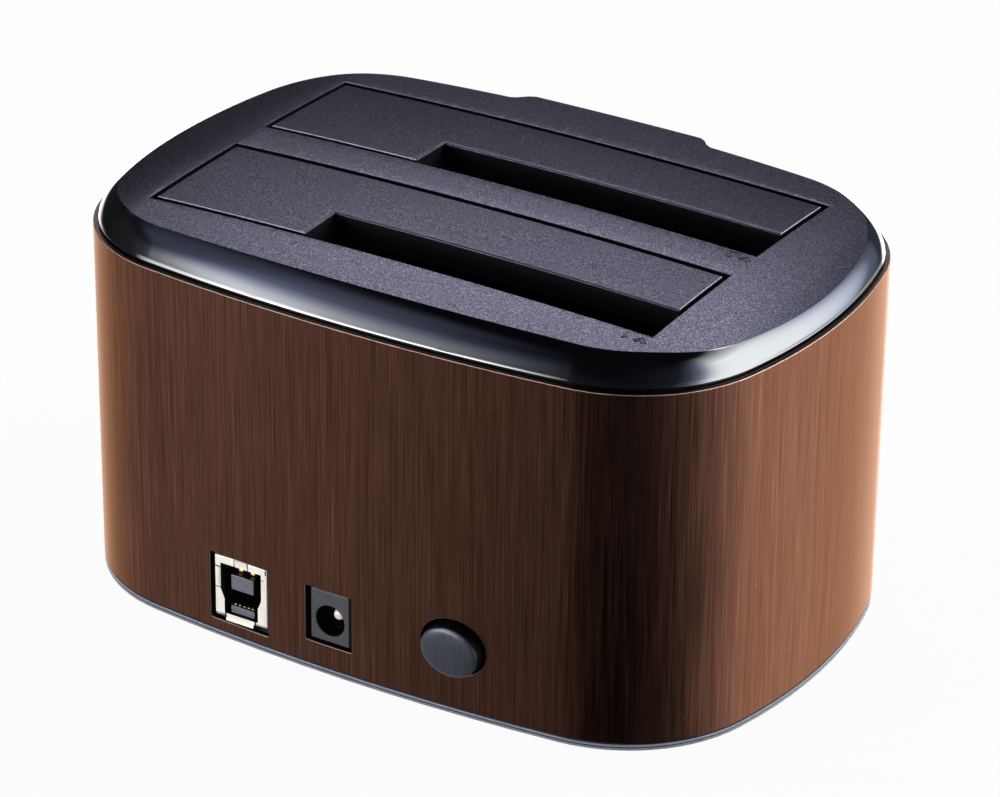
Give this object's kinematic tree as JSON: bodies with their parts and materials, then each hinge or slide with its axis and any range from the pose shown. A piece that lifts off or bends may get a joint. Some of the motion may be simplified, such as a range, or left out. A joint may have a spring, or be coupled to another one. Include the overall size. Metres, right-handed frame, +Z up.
{
  "type": "hard drive docking station",
  "caption": "Upright hard drive docking station: brown metal sleeve, crowned dark cover with spring flaps over the drive bays, rear data socket, power inlet and push button.",
  "frame": {"origin": "on the desk under the middle of the metal sleeve, in the plane of the feet", "axes": "+X along the bays, +Y to the rear with the sockets and the button, +Z up"},
  "size_m": [0.1436, 0.0991, 0.0799],
  "materials": {
    "sleeve_metal": "brown anodised, brushed upright",
    "cover_plastic": "fine texture",
    "base_plastic": "satin",
    "cage_plastic": "satin",
    "steel": "nickel plated",
    "circuit_board": "solder mask",
    "socket_plastic": "moulded",
    "contacts": "gold plated",
    "pale_plastic": "moulded",
    "button_plastic": "brushed look, chamfered",
    "can_metal": "plain",
    "clear_plastic": "clear",
    "rubber": "matt"
  },
  "bodies": {
    "housing": {"sleeve": "sleeve_metal", "top_cover": "cover_plastic", "base_tray": "base_plastic", "drive_cage": "cage_plastic", "hinge_pin_a": "steel", "hinge_pin_b": "steel", "flap_spring_a": "steel", "flap_spring_b": "steel", "main_board": "circuit_board", "sata_socket_a": "socket_plastic", "sata_socket_b": "socket_plastic", "sata_contacts_a": "contacts", "sata_contacts_b": "contacts", "usb_shell": "steel", "usb_insulator": "socket_plastic", "usb_contacts": "contacts", "dc_jack_body": "socket_plastic", "dc_center_pin": "steel", "dc_spring_contact": "contacts", "switch_body": "socket_plastic", "bridge_chip": "socket_plastic", "regulator_chips": "socket_plastic", "power_inductors": "socket_plastic", "filter_capacitors": "can_metal", "clock_crystal": "can_metal", "led_board": "circuit_board", "status_leds": "pale_plastic", "indicator_window": "clear_plastic", "led_cable": "pale_plastic", "led_connector": "pale_plastic", "cover_screws": "steel", "base_screws": "steel", "board_screws": "steel", "rubber_feet": "rubber"},
    "flap_a": {"flap_a": "cover_plastic"},
    "flap_b": {"flap_b": "cover_plastic"},
    "button": {"power_button": "button_plastic", "switch_plunger": "pale_plastic"}
  },
  "joints": [
    {"name": "flap_a_hinge", "type": "hinge", "parent": "housing", "child": "flap_a", "pos_m": [0, -0.00065, 0.07494], "axis": [-1, 0, 0], "range_deg": [0, 90], "stiffness_Nm_per_rad": 0.003, "springref_deg": -57.3, "deforming": ["flap_spring_a"]},
    {"name": "flap_b_hinge", "type": "hinge", "parent": "housing", "child": "flap_b", "pos_m": [0, -0.03745, 0.07398], "axis": [-1, 0, 0], "range_deg": [0, 90], "stiffness_Nm_per_rad": 0.003, "springref_deg": -57.3, "deforming": ["flap_spring_b"]},
    {"name": "button_slide", "type": "slide", "parent": "housing", "child": "button", "axis": [0, -1, 0], "range_m": [0, 0.0016], "stiffness_N_per_m": 400, "springref_m": -0.002}
  ]
}
